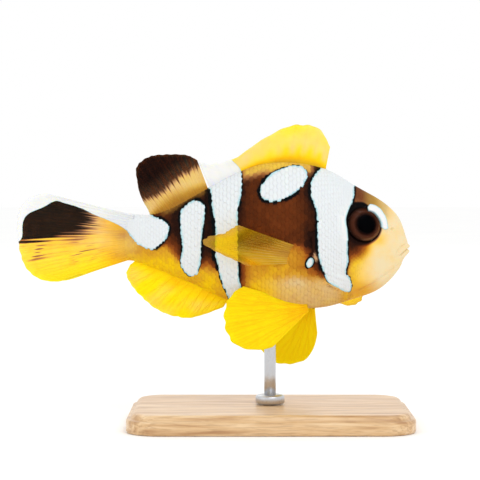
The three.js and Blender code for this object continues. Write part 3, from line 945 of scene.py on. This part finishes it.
def make_plates(name, centres, side, material):
    rng = np.random.default_rng(len(centres))
    grid_out, grid_across = grid(PLATE_ROWS, PLATE_ACROSS)
    out = (grid_out - 0.4 * grid_across**2 * np.maximum(grid_out, 0)).ravel()
    across = (grid_across * (1 - 0.25 * np.maximum(-grid_out, 0))).ravel()
    numbers = np.arange(out.size).reshape(grid_out.shape)
    outline = np.concatenate([numbers[0], numbers[1:, -1], numbers[-1, -2::-1], numbers[-2:0:-1, 0]])
    tops = len(out)
    out = np.append(out, out[outline])
    across = np.append(across, across[outline])
    under = np.append(np.zeros(tops), np.ones(len(outline)))

    column = centres[:, :1] + out * PLATE_REACH
    row = centres[:, 1:] + across * PLATE_HALF_WIDTH
    along = np.minimum(along_at(column), LAST_PLACE)
    turn = side * turn_at(along, row * row_height(along))
    up = up_at(along, turn)
    size = plate_size(along)
    stand = rng.normal(1, 0.12, (len(centres), 1)) * (1 - 0.3 * across**2)
    sunk = smooth(0.075, 0.0, along - scaled_from(up))
    lift = PLATE_LIFT * size * stand * ((out + 1) / 2) * (1 - 0.75 * sunk) - PLATE_SUNK
    behind_gill, _ = mm_from(GILL_EDGE, along, up)
    lift = lift + GILL_LIFT * np.exp(-np.maximum(behind_gill, 0) / 0.9) * (behind_gill > 0)
    lift = lift - under * PLATE_THICKNESS * size
    points = skin_point(along, turn, lift)

    heart, heart_up = side_view_of(centres[:, :1] + PLATE_HEART, centres[:, 1:])
    fields = coat_fields(mix(heart, along, OWN_MARKS), mix(heart_up, up, OWN_MARKS))
    fields["tint"] = np.broadcast_to(rng.random((len(centres), 1)), along.shape)
    # edge is painted shade. It rises from 0 over a scale's middle to 1 at its rim.
    rimward = np.maximum(np.abs(across), smooth(0.25, 1.0, out + 0.4 * across**2))
    fields["edge"] = np.broadcast_to(smooth(0.7, 1.0, rimward), along.shape)

    floor = np.arange(tops, len(out))
    face_top = grid_quads(numbers)[:, [0, 3, 2, 1]]
    walls = ring_quads(np.stack([outline, floor]))
    if side > 0:
        face_top, walls, floor = face_top[:, ::-1], walls[:, ::-1], floor[::-1]
    starts = np.arange(len(centres))[:, None] * len(out)
    quads = (np.vstack([face_top, walls]) + starts[:, :, None]).reshape(-1, 4)
    floors = floor + starts
    root_along = along_at(centres[:, 0] - 1)
    root = place_on_map(root_along, side * turn_at(root_along, centres[:, 1] * row_height(root_along)))
    vertex_uv = (root[:, None] + np.stack([across, out], -1) * PLATE_ON_MAP).reshape(-1, 2)
    corner_uv = vertex_uv[np.append(quads, floors)]
    of_walls = np.repeat([False, True], [len(face_top), len(walls)])
    flat = np.append(np.tile(of_walls, len(centres)), np.ones(len(centres), bool))
    piece = make_object(name, points, quads.tolist() + floors.tolist(), fields, corner_uv, flat)
    add_piece(piece, material, "skin")


def make_scales(material):
    for side, word in ((-1, "right"), (1, "left")):
        centres = plate_centres(side)
        along = along_at(centres[:, 0])
        in_front = along < FRONT_SCALES_END
        for part, chosen in (("front", in_front), ("rear", ~in_front)):
            make_plates(f"scales_{word}_{part}", centres[chosen], side, material)


# ---------- Fins ----------
MEMBRANE = 0.055 * MM
FIN_SINKS = 0.014
NO_WHITE = -9.0
FIN_ON_MAP = (0.47, 0.96)
# By how often a ray forks: the sheet's columns for each ray, and a branch's width at the tip.
COLUMNS_PER_RAY = (10, 14, 18)
BRANCH_WIDTHS = (0.14, 0.12, 0.085)
SOFT_DORSAL_RAYS = 16


def ray_ridge(u, v, rays, forks):
    """How much of a place is ray, 0 to 1. A soft ray forks once or twice on its way out."""
    beside = ((u * rays) % 1 - 0.5) * 2
    first = 0.46 * smooth(0.22, 0.8, v) * (forks > 0)
    second = 0.22 * smooth(0.5, 1.0, v) * (forks > 1)
    width = mix(0.24, BRANCH_WIDTHS[forks], smooth(0, 0.8, v))
    ridge = np.zeros(np.shape(u))
    for side in (-1, 1):
        for branch in (-1, 1):
            ridge = np.maximum(ridge, bump(beside - side * first - branch * second, width))
    return ridge


def fin_sheet(name, surface, rays, forks, fields_of, material, node, root_mm, slot="fin_yellow",
              rows=56, notch=0.015, fringe_mm=0.35, ray_mm=0.13):
    """A closed thin fin. surface(u, v) gives its middle plane, u along the root and v outward, and
    fields_of(u, v, ridge, along, up) its colour fields. The fringe is a soft edge beyond the rays."""
    columns = rays * COLUMNS_PER_RAY[forks]
    u, v = grid(np.linspace(0, 1, columns + 1), np.linspace(0, 1, rows + 1))
    peak = 0.5 - 0.5 * np.cos(TURN * (u * rays))
    fray = 1 + 0.35 * waves(u * rays * 1.3, 0 * u, rays)
    length = np.linalg.norm(surface(u, 0 * u + 1) - surface(u, 0 * u), axis=-1)
    reach = v * (1 + fringe_mm * MM / length - notch * (1 - peak) * fray * smooth(0.3, 1, v))
    points = surface(u, reach)
    normal = unit(np.cross(*np.gradient(points, axis=(0, 1))))
    ridge = ray_ridge(u, v, rays, forks)
    flesh = root_mm / 2 * MM * np.exp(-v / 0.1)
    half = MEMBRANE + flesh + ray_mm * MM * ridge * mix(1.0, 0.35, v) * smooth(1.0, 0.97, v)
    half = half * mix(1.0, 0.5, smooth(0.9, 1.0, v))
    ripple = 0.1 * MM * waves(u * rays * 0.8, v * 3, rays + 5) * smooth(0.2, 1, v)
    middle = points + normal * ripple[..., None]
    right = bent(middle - normal * half[..., None])
    left = bent(middle + normal * half[..., None])

    numbers = np.arange(u.size).reshape(u.shape)
    quads = [grid_quads(numbers), grid_quads(numbers)[:, [0, 3, 2, 1]] + u.size]
    for edge in (numbers[:, -1], numbers[::-1, 0], numbers[0], numbers[-1, ::-1]):
        quads.append(grid_quads(np.stack([edge, edge + u.size], -1)))
    faces = np.vstack(quads)

    uv = (np.stack([u, v], -1) * FIN_ON_MAP + MAP_MARGIN).reshape(-1, 2)
    vertex_uv = np.vstack([uv, uv + [0.5, 0]])
    lengths = np.linalg.norm(np.diff(points, axis=1), axis=-1).sum(1, keepdims=True) / MM
    fields = {"white": NO_WHITE, "rim": 0, "edge": 0, "tint": 0.5, "ridge": ridge, "out_mm": v * lengths}
    along, up = (SNOUT_X - points[..., 0]) / BODY, (points[..., 2] - MOUTH_Z) / BODY
    fields |= fields_of(u, v, ridge, along, up)
    fields = {key: np.tile(np.broadcast_to(values, u.shape).ravel(), 2) for key, values in fields.items()}
    piece = make_object(name, [right, left], faces.tolist(), fields, vertex_uv[faces])
    add_piece(piece, material, slot, node)


def middle_fin_surface(ruling_rays, root_of, sway_mm, sway_rate, sway_start=0.8):
    """The plane of a fin on the middle line. root_of turns a ray's first number into the along
    and up of its root, which lies inside the body."""
    ruling = curve_through(np.linspace(0, 1, len(ruling_rays)), ruling_rays)

    def surface(u, v):
        first, tip_along, tip_up = np.moveaxis(ruling(u), -1, 0)
        root_along, root_up = root_of(first)
        along, up = mix(root_along, tip_along, v), mix(root_up, tip_up, v)
        sway = sway_mm * MM * v**2 * np.sin(TURN * sway_rate * u + sway_start)
        return np.stack([SNOUT_X - along * BODY, sway, MOUTH_Z + up * BODY], -1)

    return surface


def paired_fin_surface(root, reach, across, width, spread, lengths, bow):
    """The plane of one of the PAIRED_FINS, from its row there."""
    reach = Vector(reach).normalized()
    across = Vector(across)
    across = (across - across.project(reach)).normalized()
    ways = np.array([across, reach, reach.cross(across)])
    length_at = curve_through(np.linspace(0, 1, len(lengths)), lengths)

    def surface(u, v):
        turn = math.radians(spread) * (u - 0.5)
        distance = length_at(u)[..., 0] * v
        sideways = width * (u - 0.5) + distance * np.sin(turn)
        off_plane = bow * (distance / max(lengths)) ** 2
        return (root + np.stack([sideways, distance * np.cos(turn), off_plane], -1) @ ways) * MM

    return surface


def plain_fin_fields(root_tone, tip_tone, streak, seed, paleness=0.1):
    """A yellow fin: orange at its root, with paler and deeper streaks along its rays."""
    def fields_of(u, v, ridge, along, up):
        patches = waves(u * 9, v * 2.2, seed)
        tone = mix(root_tone, tip_tone, smooth(0, 0.45, v)) + streak * ridge + 0.02 * patches
        pale = np.clip(paleness * (1 + 1.2 * patches), 0, 1) * smooth(0.25, 0.6, v)
        return {"tone": tone, "pale": pale}
    return fields_of


def pectoral_fields(u, v, ridge, along, up):
    tone = mix(0.27, 0.04, smooth(0.12, 0.6, v)) + 0.02 * waves(u * 9, v * 2, 61)
    tone = mix(tone, 0.26, 0.6 * smooth(0.86, 1.0, v))
    cover = 0.11 + 0.34 * smooth(0.35, 0.8, u) * smooth(0.95, 0.62, v) + 0.6 * smooth(0.55, 0.15, v)
    cover = cover + 0.15 * ridge * smooth(0.85, 0.65, v) + 0.26 * smooth(0.8, 1.0, v)
    pale = 0.24 * ridge * within(0.2, 0.4, 0.65, 0.8, v) + 0.04 + 0.14 * smooth(0.86, 0.96, v)
    olive = 0.3 * smooth(0.8, 0.65, v) + 0.2 * smooth(0.86, 0.96, v)
    return {"tone": tone, "pale": pale, "olive": olive, "cover": cover}


def spiny_dorsal_fields(u, v, ridge, along, up):
    white = np.where(along > 0.5, white_fields(along, up)[0], NO_WHITE)
    patches = waves(u * 6, v * 2.0, 21)
    deep = smooth(0.66, 0.36, v) * smooth(0.62, 0.36, u)
    streaks = 0.5 + 0.5 * np.cos(TURN * (u * 11 + 0.1 * patches))
    tone = mix(0.17, 0.03, smooth(0.08, 0.34, v)) + 0.03 * patches
    tone = painted(tone, [(0.03, 0.7 * deep * streaks * smooth(0.15, 0.3, v)),
                          (0.16, 0.7 * smooth(0.965, 0.99, v))])
    pale = np.clip(0.36 + 0.18 * smooth(0.5, 0.9, u) + 0.16 * patches, 0, 0.7) * smooth(0.18, 0.45, v)
    pale = pale * (1 - 0.85 * deep * streaks)
    olive = 0.3 * smooth(0.25, 0.05, v)
    return {"tone": tone, "pale": pale, "olive": olive, "white": 3 * white}


def soft_dorsal_fields(u, v, ridge, along, up):
    white = white_fields(along, up)[0]
    dark, _ = mm_from(DORSAL_DARK, along, up)
    ray = np.floor(u * SOFT_DORSAL_RAYS + 0.5)
    between = np.abs((u * SOFT_DORSAL_RAYS + 0.5) % 1 - 0.5) * 2
    tooth = mix(0.4, 0.8, smooth(0.72, 0.8, along)) * bump(between, 0.22)
    tooth = tooth * (1 + 0.4 * np.sin(ray * 12.9898))
    shade = smooth(-0.75, 0.6, dark + tooth - 0.35 + 0.25 * waves(u * 60, v * 3, 37))
    line = 0.36 * bump(between, 0.12) * smooth(-3.2, -0.4, dark)
    yellow = mix(0.36, 0.13, smooth(0.04, 0.3, v)) + 0.03 * waves(u * 6, v * 2, 33)
    yellow = mix(yellow, 0.62, line)
    streaks = waves(u * 44, v * 2.5, 35)
    night = mix(0.8, 0.95, smooth(0.2, 3.8, dark + 0.5 * streaks)) + 0.02 * streaks
    tone = mix(yellow, night, shade)
    light = 0.03 * smooth(4.2, 0.4, dark) * (1 + 0.5 * streaks)
    pale = mix(0.46 * smooth(0.12, 0.36, v) * (1 - line), np.clip(light, 0, 1), shade)
    olive = 0.4 * (1 - shade)
    return {"tone": tone, "pale": pale, "olive": olive, "white": 3 * (white - 0.2)}


def caudal_fields(u, v, ridge, along, up):
    white = white_fields(along, up)[0]
    lobe, _ = mm_from(BLACK_LOBE, along, up)
    streaks = waves(u * 64, v * 1.6, 41)
    reach = mix(0.4, 1.7, smooth(1.24, 1.1, along))
    shade = smooth(-reach, 0.5 * reach, lobe + (0.25 + 0.35 * reach) * streaks)
    brown = smooth(-4.2, 0.3, lobe) * smooth(1.26, 1.12, along) * (0.75 + 0.25 * streaks)
    dashes = 0.5 * np.cos(TURN * u * 46) + 0.75 * waves(u * 26, v * 9, 43)
    dashes = smooth(0.5, 0.95, dashes) * bump(up + 0.008, 0.042)
    dashes = dashes * (bump(along - 1.29, 0.04) + 0.8 * bump(along - 1.122, 0.045))
    root_tone, root_pale, _ = body_fields(np.clip(along, 0, 0.985), up)
    yellow = 0.06 + 0.05 * ridge + 0.02 * waves(u * 20, v * 2, 45)
    yellow = mix(yellow, 0.0, 0.8 * smooth(0.55, 0.85, u))
    yellow = mix(root_tone, yellow, smooth(0.985, 1.085, along + 0.015 * streaks))
    tone = painted(yellow, [
        (0.4, 0.75 * np.clip(brown, 0, 1)),
        (0.66, np.clip(dashes, 0, 0.9)),
        (0.965 + 0.02 * streaks, shade),
    ])
    pale = (0.26 + 0.06 * waves(u * 26, v * 2, 47)) * smooth(1.22, 1.05, along) * smooth(-0.02, 0.05, up)
    pale = (pale + 0.16) * (1 - 0.8 * smooth(0.55, 0.85, u))
    pale = mix(root_pale, pale, smooth(0.99, 1.08, along))
    return {"tone": tone, "pale": mix(np.clip(pale, 0, 1), 0.012, shade), "white": 3 * white}


def root_in_back(along):
    return along, back_at(along) - FIN_SINKS


def root_in_belly(along):
    return along, belly_at(along) + FIN_SINKS


def root_in_stem(up):
    return 0.945, up * 0.9 + 0.004


def make_fins():
    yellow = fin_material("fin_skin")
    veil = fin_material("fin_veil", see_through=True)
    fin_sheet("spiny_dorsal", middle_fin_surface(SPINY_DORSAL, root_in_back, 0.5, 0.9), 11, 0,
              spiny_dorsal_fields, yellow, "dorsal_fin_spiny", 1.3, notch=0.02, ray_mm=0.06)
    fin_sheet("soft_dorsal", middle_fin_surface(SOFT_DORSAL, root_in_back, 0.6, 1.1), SOFT_DORSAL_RAYS, 2,
              soft_dorsal_fields, yellow, "dorsal_fin_soft", 1.1, "fin_dark", notch=0.01, fringe_mm=0.1)
    fin_sheet("anal", middle_fin_surface(ANAL, root_in_belly, 0.5, 1.2), 14, 2,
              plain_fin_fields(0.05, 0.02, 0.02, 51, 0.06), yellow, "anal_fin", 1.1, fringe_mm=0.45)
    fin_sheet("caudal", middle_fin_surface(CAUDAL, root_in_stem, 0.45, 1.3, 2.0), 17, 2,
              caudal_fields, yellow, "caudal_fin", 1.5, rows=80, notch=0.006)
    # The left pelvic is painted a lighter yellow than the right. This is painted light that makes up for
    # the shade it hangs in.
    pelvic_fields = {"right": plain_fin_fields(0.11, 0.03, 0.04, 65, 0.0),
                     "left": plain_fin_fields(0.01, -0.05, 0.01, 67, 0.0)}
    for name, fin in PAIRED_FINS.items():
        kind, side = name.split("_")
        node = f"{kind}_fin_{side}"
        if kind == "pectoral":
            looks = (11, 1, pectoral_fields, veil, node, 0.6)
        else:
            looks = (7, 2, pelvic_fields[side], yellow, node, 1.0)
        fin_sheet(name, paired_fin_surface(*fin), *looks, fringe_mm=0.4,
                  ray_mm=0.13 if kind == "pectoral" else 0.1)


# ---------- Turned pieces ----------
def turned(profile, segments=64):
    """Points and faces of a profile of (radius, height) turned round +Z, closed at both ends."""
    angles = np.arange(segments) * TURN / segments
    radius, height = np.array(profile, float).T
    points = np.stack([
        radius[:, None] * np.cos(angles), radius[:, None] * np.sin(angles),
        np.broadcast_to(height[:, None], (len(radius), segments)),
    ], -1).reshape(-1, 3)
    return points, closed_tube(len(radius), segments)


# ---------- Eyes ----------
PUPIL_MM = 1.78
PUPIL_AHEAD_MM = 0.35
EYE_SEGMENTS = 128


def eye_seat(side):
    """The middle of an eye's opening and the way that it faces, from the body's own surface."""
    angles = np.arange(24) * TURN / 24
    reach = (EYE_MM + 0.1) * MM
    across, over = reach * np.cos(angles), reach * np.sin(angles)
    along = EYE_ALONG - across / BODY
    back, belly, half = np.moveaxis(station_at(np.sqrt(along)), -1, 0)
    share = (EYE_UP + over / BODY - (back + belly) / 2) / ((back - belly) / 2)
    out = half * BODY * np.sqrt(1 - share**2) ** BACK_RIDGE
    level, lean_x, lean_z = np.linalg.lstsq(np.stack([np.ones(24), across, over], -1), out, rcond=None)[0]
    x = SNOUT_X - EYE_ALONG * BODY
    z = MOUTH_Z + EYE_UP * BODY
    return Vector((x, side * level, z)), Vector((-lean_x, side, -lean_z)).normalized()


def eye_points(points_mm, side, ahead_mm):
    """Turned points set in the head. ahead_mm moves each of them forward in the eye's own plane."""
    centre, facing = eye_seat(side)
    forward = (Vector((1, 0, 0)) - facing * facing.x).normalized()
    axes = np.array([forward, facing.cross(forward), facing])
    shifted = points_mm + np.outer(ahead_mm, [1, 0, 0])
    return shifted * MM @ axes + np.array(centre)


def make_eye(side, word, iris, cornea):
    ball = [(0.02, -1.9), (1.4, -1.75), (2.6, -1.3), (3.3, -0.7), (EYE_MM + 0.1, -0.35), (EYE_MM, -0.1)]
    for r in np.linspace(EYE_MM - 0.1, PUPIL_MM + 0.05, 16):
        ball.append((r, 0.02 + 0.16 * smooth(EYE_MM, PUPIL_MM, r)))
    for r in np.linspace(PUPIL_MM, 0.02, 14):
        ball.append((r, 0.08 + 0.42 * math.sqrt(max(0, 1 - (r / PUPIL_MM) ** 2))))
    points, faces = turned(ball, EYE_SEGMENTS)
    away = np.hypot(points[:, 0], points[:, 1])
    ahead = PUPIL_AHEAD_MM * np.clip((EYE_MM - away) / (EYE_MM - PUPIL_MM), 0, 1) * (points[:, 2] > -0.3)
    # glow is painted light: a patch of light brown on the iris's lower front.
    lean = (0.75 * points[:, 0] + 0.66 * side * points[:, 1]) / away
    glow = 0.85 * smooth(0.25, 0.95, lean) * bump(away / EYE_MM - 0.87, 0.065)
    fields = {"ring": np.clip(away / EYE_MM, 0, 1), "glow": glow}
    piece = make_object(f"eyeball_{word}", eye_points(points, side, ahead), faces, fields)
    add_piece(piece, iris, "eye", f"eye_{word}")
    radii = np.append(np.linspace(EYE_MM + 0.05, 3.0, 12), np.linspace(2.8, 0.02, 18))
    dome = np.stack([radii, 0.02 + 0.8 * (1 - (radii / (EYE_MM + 0.06)) ** 2) ** 0.6], -1)
    shell, shell_faces = turned(dome, EYE_SEGMENTS)
    cover = make_object(f"cornea_{word}", eye_points(shell, side, np.zeros(len(shell))),
                        shell_faces[:-2] + shell_faces[-1:])
    add_piece(cover, cornea, "eye")


# ---------- Stand ----------
CORNER_MM = 7
CORNER_STEPS = 16


def make_base(material):
    """A plinth: a moulding profile carried round a rectangle with rounded corners."""
    low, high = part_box("stand_base")
    corner = CORNER_MM * MM
    profile = [(0.8, 0.0), (0.25, 0.08), (0.0, 0.4), (0.0, 2.35), (0.08, 2.6), (0.3, 2.75), (0.75, 2.8),
               (0.9, 2.95), (0.95, 3.2), (1.2, 3.6), (1.65, 3.9), (2.2, (high.z - low.z) / MM)]
    outline = []
    for k, (sx, sy) in enumerate([(1, 1), (-1, 1), (-1, -1), (1, -1)]):
        for step in range(CORNER_STEPS + 1):
            angle = math.pi / 2 * (k + step / CORNER_STEPS)
            middle = (sx * (high.x - corner), sy * (high.y - corner))
            outline.append((*middle, math.cos(angle), math.sin(angle)))
    outline = np.array(outline)
    rings = []
    for inset, z in profile:
        edge = outline[:, :2] + (corner - inset * MM) * outline[:, 2:]
        rings.append(np.column_stack([edge, np.full(len(edge), low.z + z * MM)]))
    faces = closed_tube(len(profile), len(outline))
    piece = make_object("plinth", rings, faces, flat_faces=slice(-2, None))
    add_piece(piece, material, "stand_wood", "stand_base")


def make_turned_piece(name, profile_mm, material, node):
    points, faces = turned(profile_mm)
    piece = make_object(name, points * MM, faces, flat_faces=slice(-2, None))
    add_piece(piece, material, "stand_steel", node)


def make_stand():
    wood, steel = maple_material(), steel_material()
    make_base(wood)
    rod_low, rod_high = (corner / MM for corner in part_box("stand_rod"))
    foot, top, radius = rod_low.z, rod_high.z + 0.4, rod_high.x
    make_turned_piece("rod", [(radius, foot), (radius, foot + 6), (radius, foot + 12), (radius, top - 0.3),
                              (radius - 0.3, top)], steel, "stand_rod")
    low, high = (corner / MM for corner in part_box("stand_collar"))
    inner, outer = radius + 0.02, high.x
    make_turned_piece("collar", [
        (inner, low.z), (outer - 0.15, low.z), (outer, low.z + 0.15), (outer, high.z - 0.55),
        (outer - 0.12, high.z - 0.25), (outer - 0.4, high.z - 0.08), (outer - 0.8, high.z), (inner, high.z),
    ], steel, "stand_collar")


# ---------- Stage, light and camera ----------
FLOOR_RADIUS = 2.5
FLOOR_SIDES = 96


def make_floor():
    nodes = NodeTree("floor")
    colour = nodes.ramp(nodes.noise(60, 2), [(0.3, (252, 252, 252)), (0.7, (254, 254, 253))])
    material = nodes.surface(nodes.add("BsdfDiffuse", {"Color": colour}))
    ring, _ = turned([(FLOOR_RADIUS, 0)], FLOOR_SIDES)
    floor = make_object("floor", ring, [list(range(FLOOR_SIDES))])
    floor.data.materials.append(material)


def look_from(name, data, place, target):
    """Put a lamp or the camera at a place, turned to a target."""
    thing = bpy.data.objects.new(name, data)
    thing.location = place
    thing.rotation_euler = (target - thing.location).to_track_quat("-Z", "Y").to_euler()
    bpy.context.scene.collection.objects.link(thing)
    return thing


def light_stage():
    world = bpy.data.worlds.new("studio")
    world.use_nodes = True
    background = world.node_tree.nodes["Background"]
    background.inputs["Color"].default_value = (1, 1, 1, 1)
    background.inputs["Strength"].default_value = 1.0
    bpy.context.scene.world = world
    for name, place, size, power in (
        ("key", (0.25, -0.55, 0.6), (0.4, 0.4), 1.2),
        ("fill", (-0.6, -0.35, 0.3), (0.5, 0.4), 0.3),
        ("back", (-0.1, 0.6, 0.5), (0.6, 0.4), 0.6),
    ):
        light = bpy.data.lights.new(name, "AREA")
        light.shape = "RECTANGLE"
        light.size, light.size_y = size
        light.energy = power
        look_from(name, light, place, Vector((0, 0, MOUTH_Z)))
    bpy.context.scene.view_settings.view_transform = "Standard"


def place_camera():
    """The photo's side view: the fish fills four fifths of the frame's width."""
    camera = bpy.data.cameras.new("camera")
    camera.sensor_width = 36
    distance = 0.4
    frame_width = 0.0989
    camera.lens = camera.sensor_width * distance / frame_width
    camera.clip_start = 0.01
    camera.clip_end = 20
    elevation = math.radians(2)
    target = Vector((-0.0062, 0, 0.038))
    eye = target + distance * Vector((0, -math.cos(elevation), math.sin(elevation)))
    bpy.context.scene.camera = look_from("camera", camera, eye, target)


# ---------- The model ----------
skin = skin_material()
make_skin(skin)
make_scales(skin)
make_fins()
iris, cornea = eye_material(), cornea_material()
make_eye(-1, "right", iris, cornea)
make_eye(1, "left", iris, cornea)
make_stand()
make_floor()
light_stage()
place_camera()
